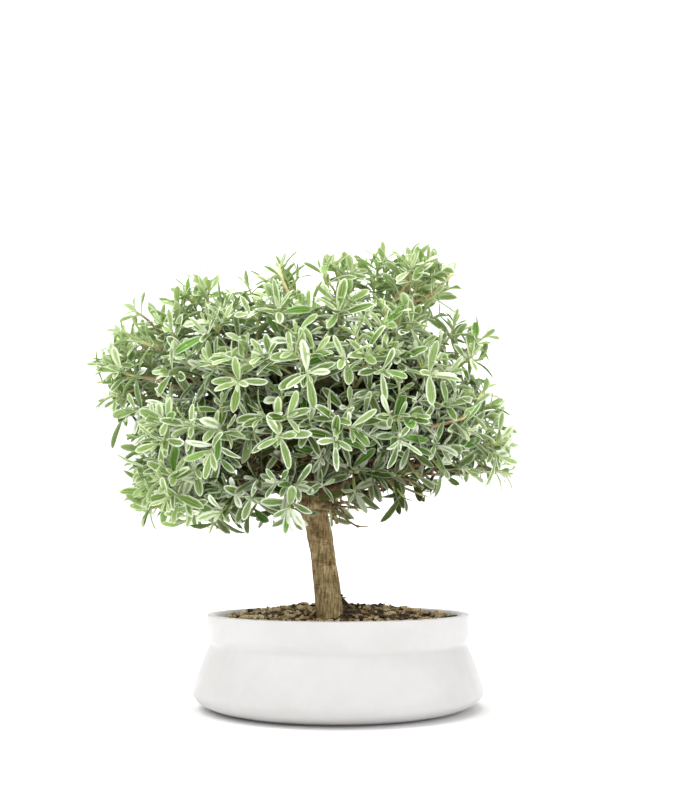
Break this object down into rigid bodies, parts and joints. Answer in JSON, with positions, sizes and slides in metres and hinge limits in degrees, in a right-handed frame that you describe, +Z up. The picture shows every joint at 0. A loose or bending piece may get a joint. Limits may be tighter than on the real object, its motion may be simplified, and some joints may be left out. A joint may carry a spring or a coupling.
{
  "type": "variegated coprosma bonsai",
  "caption": "A small leaning bonsai tree with glossy cream-edged leaves, growing in bark-topped soil in a low round white glazed pot.",
  "frame": {"origin": "the centre of the pot's flat underside", "axes": "+Z up along the object's longest extent, -Y the side seen in front, +X to its right"},
  "size_m": [0.381, 0.2637, 0.4057],
  "materials": {
    "pot": "white gloss glaze",
    "mesh": "matte black plastic mesh",
    "soil": "moist bark chips and soil",
    "bark": "finely fissured olive-brown bark",
    "leaf": "glossy green leaves with cream margins"
  },
  "bodies": {
    "root": {"pot": "pot", "drain_mesh_left": "mesh", "drain_mesh_right": "mesh", "soil": "soil", "trunk_and_branches": "bark", "spray_back_left_1": "leaf", "spray_back_left_2": "leaf", "spray_back_left_3": "leaf", "spray_back_left_4": "leaf", "spray_back_left_5": "leaf", "spray_back_right_1": "leaf", "spray_back_right_2": "leaf", "spray_back_right_3": "leaf", "spray_back_right_4": "leaf", "spray_back_right_5": "leaf", "spray_front_left_1": "leaf", "spray_front_left_2": "leaf", "spray_front_left_3": "leaf", "spray_front_left_4": "leaf", "spray_front_left_5": "leaf", "spray_front_right_1": "leaf", "spray_front_right_2": "leaf", "spray_front_right_3": "leaf", "spray_front_right_4": "leaf", "spray_front_right_5": "leaf", "spray_front_right_6": "leaf", "spray_front_right_7": "leaf", "spray_left_high_1": "leaf", "spray_left_high_2": "leaf", "spray_left_high_3": "leaf", "spray_left_low_1": "leaf", "spray_left_low_2": "leaf", "spray_left_low_3": "leaf", "spray_left_low_4": "leaf", "spray_left_low_5": "leaf", "spray_left_low_6": "leaf", "spray_right_high_1": "leaf", "spray_right_high_2": "leaf", "spray_right_high_3": "leaf", "spray_right_high_4": "leaf", "spray_right_low_1": "leaf", "spray_right_low_2": "leaf", "spray_right_low_3": "leaf", "spray_right_low_4": "leaf", "spray_right_low_5": "leaf", "spray_right_low_6": "leaf", "spray_top_left_1": "leaf", "spray_top_left_2": "leaf", "spray_top_left_3": "leaf", "spray_top_left_4": "leaf", "spray_top_mid_1": "leaf", "spray_top_mid_2": "leaf", "spray_top_mid_3": "leaf", "spray_top_mid_4": "leaf", "spray_top_mid_5": "leaf", "spray_top_right_1": "leaf", "spray_top_right_2": "leaf", "spray_top_right_3": "leaf", "spray_top_right_4": "leaf", "spray_top_right_5": "leaf"}
  },
  "joints": []
}
